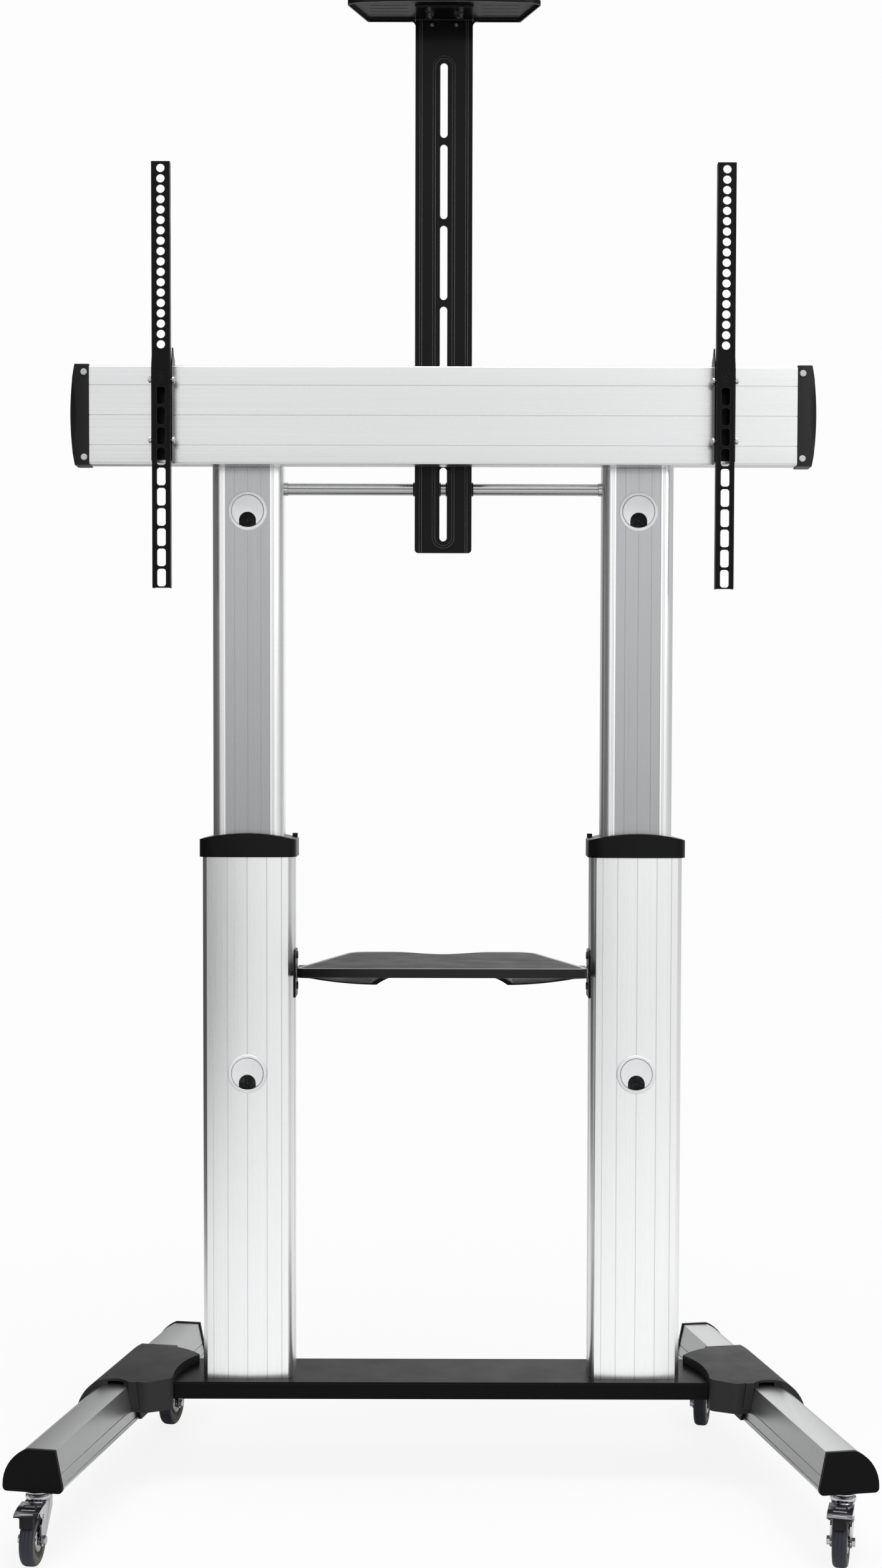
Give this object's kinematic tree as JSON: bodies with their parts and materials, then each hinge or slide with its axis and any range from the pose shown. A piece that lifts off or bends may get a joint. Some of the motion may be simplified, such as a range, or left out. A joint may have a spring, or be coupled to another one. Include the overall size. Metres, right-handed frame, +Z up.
{
  "type": "mobile display cart",
  "caption": "Wheeled display cart with twin telescopic columns, cross rail, sliding display arms, camera mast and equipment shelf.",
  "frame": {"origin": "on the floor, in the middle of the footprint", "axes": "+X to the right seen from the display side, +Y to the back, +Z up"},
  "size_m": [1.2778, 0.7692, 2.3435],
  "materials": {
    "satin_silver": "satin anodised extrusion",
    "column_grey": "matte grey anodised band with bright corners",
    "arm_black": "semi-gloss black powder coat",
    "shelf_black": "gloss black paint",
    "plate_black": "matte black powder coat",
    "cover_grey": "fine textured dark grey moulding",
    "collar_black": "semi-gloss black moulding",
    "grommet_silver": "silver plated moulding",
    "bristle_black": "nylon bristles",
    "bush_white": "natural acetal",
    "screw_black": "black oxide",
    "zinc": "bright zinc plate",
    "caster_chrome": "polished chrome plate",
    "tyre_rubber": "grey-black rubber",
    "wheel_core": "grey-brown nylon core with a bright cover",
    "mat_grey": "grey mat with a fine dot pattern"
  },
  "bodies": {
    "base": {"base_plate": "plate_black", "leg_left": "satin_silver", "leg_right": "satin_silver", "hub_covers": "cover_grey", "leg_end_caps": "cover_grey", "base_bolts": "zinc", "outer_column_left": "satin_silver", "outer_column_right": "satin_silver", "collars": "collar_black", "lower_grommets": "grommet_silver", "lower_grommet_brushes": "bristle_black", "guide_bushes": "bush_white", "height_lock_bolts": "screw_black", "caster_stems": "caster_chrome"},
    "lift": {"inner_column_left": "column_grey", "inner_column_right": "column_grey", "slide_shoes": "bush_white", "rail": "satin_silver", "rail_end_caps": "cover_grey", "rail_cap_screws": "zinc", "rail_brackets": "arm_black", "frame_bolts": "zinc", "tie_rod": "satin_silver", "tie_rod_fittings": "satin_silver", "upper_grommets": "grommet_silver", "upper_grommet_brushes": "bristle_black", "mast_carrier": "arm_black"},
    "camera_mast": {"mast": "arm_black", "camera_shelf": "shelf_black", "camera_shelf_screws": "zinc"},
    "equipment_shelf": {"shelf_tray": "shelf_black", "shelf_mat": "mat_grey", "shelf_supports": "arm_black", "shelf_clamps": "arm_black", "shelf_screws": "screw_black"},
    "slider_left": {"hook_left": "arm_black", "tilt_bolts_left": "zinc"},
    "slider_right": {"hook_right": "arm_black", "tilt_bolts_right": "zinc"},
    "arm_left": {"display_arm_left": "arm_black"},
    "arm_right": {"display_arm_right": "arm_black"},
    "fork_front_left": {"caster_fork_front_left": "caster_chrome", "caster_axle_front_left": "caster_chrome"},
    "wheel_front_left": {"wheel_hub_front_left": "wheel_core", "tyre_front_left": "tyre_rubber"},
    "pedal_left": {"brake_pedal_left": "caster_chrome"},
    "fork_front_right": {"caster_fork_front_right": "caster_chrome", "caster_axle_front_right": "caster_chrome"},
    "wheel_front_right": {"wheel_hub_front_right": "wheel_core", "tyre_front_right": "tyre_rubber"},
    "pedal_right": {"brake_pedal_right": "caster_chrome"},
    "fork_rear_left": {"caster_fork_rear_left": "caster_chrome", "caster_axle_rear_left": "caster_chrome"},
    "wheel_rear_left": {"wheel_hub_rear_left": "wheel_core", "tyre_rear_left": "tyre_rubber"},
    "fork_rear_right": {"caster_fork_rear_right": "caster_chrome", "caster_axle_rear_right": "caster_chrome"},
    "wheel_rear_right": {"wheel_hub_rear_right": "wheel_core", "tyre_rear_right": "tyre_rubber"}
  },
  "joints": [
    {"name": "column_lift", "type": "slide", "parent": "base", "child": "lift", "axis": [0, 0, 1], "range_m": [-0.3, 0.05]},
    {"name": "mast_height", "type": "slide", "parent": "lift", "child": "camera_mast", "axis": [0, 0, 1], "range_m": [-0.03, 0.03]},
    {"name": "shelf_height", "type": "slide", "parent": "base", "child": "equipment_shelf", "axis": [0, 0, 1], "range_m": [-0.35, 0.1]},
    {"name": "arm_slide_left", "type": "slide", "parent": "lift", "child": "slider_left", "axis": [1, 0, 0], "range_m": [-0.05, 0.35]},
    {"name": "arm_slide_right", "type": "slide", "parent": "lift", "child": "slider_right", "axis": [-1, 0, 0], "range_m": [-0.05, 0.35]},
    {"name": "arm_tilt_left", "type": "hinge", "parent": "slider_left", "child": "arm_left", "pos_m": [-0.441, -0.02222, 1.6675], "axis": [1, 0, 0], "range_deg": [0, 8]},
    {"name": "arm_tilt_right", "type": "hinge", "parent": "slider_right", "child": "arm_right", "pos_m": [0.441, -0.02222, 1.6675], "axis": [1, 0, 0], "range_deg": [0, 8]},
    {"name": "swivel_front_left", "type": "hinge", "parent": "base", "child": "fork_front_left", "pos_m": [-0.58884, -0.31622, 0.09], "axis": [0, 0, 1], "continuous": true},
    {"name": "roll_front_left", "type": "hinge", "parent": "fork_front_left", "child": "wheel_front_left", "pos_m": [-0.59208, -0.34705, 0.0375], "axis": [0.9945, -0.1045, 0], "continuous": true},
    {"name": "brake_left", "type": "hinge", "parent": "fork_front_left", "child": "pedal_left", "pos_m": [-0.5926, -0.35202, 0.074], "axis": [0.9945, -0.1045, 0], "range_deg": [0, 8]},
    {"name": "swivel_front_right", "type": "hinge", "parent": "base", "child": "fork_front_right", "pos_m": [0.58884, -0.31622, 0.09], "axis": [0, 0, 1], "continuous": true},
    {"name": "roll_front_right", "type": "hinge", "parent": "fork_front_right", "child": "wheel_front_right", "pos_m": [0.58081, -0.34617, 0.0375], "axis": [0.9659, -0.2588, 0], "continuous": true},
    {"name": "brake_right", "type": "hinge", "parent": "fork_front_right", "child": "pedal_right", "pos_m": [0.57952, -0.351, 0.074], "axis": [0.9659, -0.2588, 0], "range_deg": [0, 8]},
    {"name": "swivel_rear_left", "type": "hinge", "parent": "base", "child": "fork_rear_left", "pos_m": [-0.4654, 0.34978, 0.09], "axis": [0, 0, 1], "continuous": true},
    {"name": "roll_rear_left", "type": "hinge", "parent": "fork_rear_left", "child": "wheel_rear_left", "pos_m": [-0.4729, 0.3197, 0.0375], "axis": [0.9703, -0.2419, 0], "continuous": true},
    {"name": "swivel_rear_right", "type": "hinge", "parent": "base", "child": "fork_rear_right", "pos_m": [0.4654, 0.34978, 0.09], "axis": [0, 0, 1], "continuous": true},
    {"name": "roll_rear_right", "type": "hinge", "parent": "fork_rear_right", "child": "wheel_rear_right", "pos_m": [0.4579, 0.3197, 0.0375], "axis": [0.9703, -0.2419, 0], "continuous": true}
  ]
}
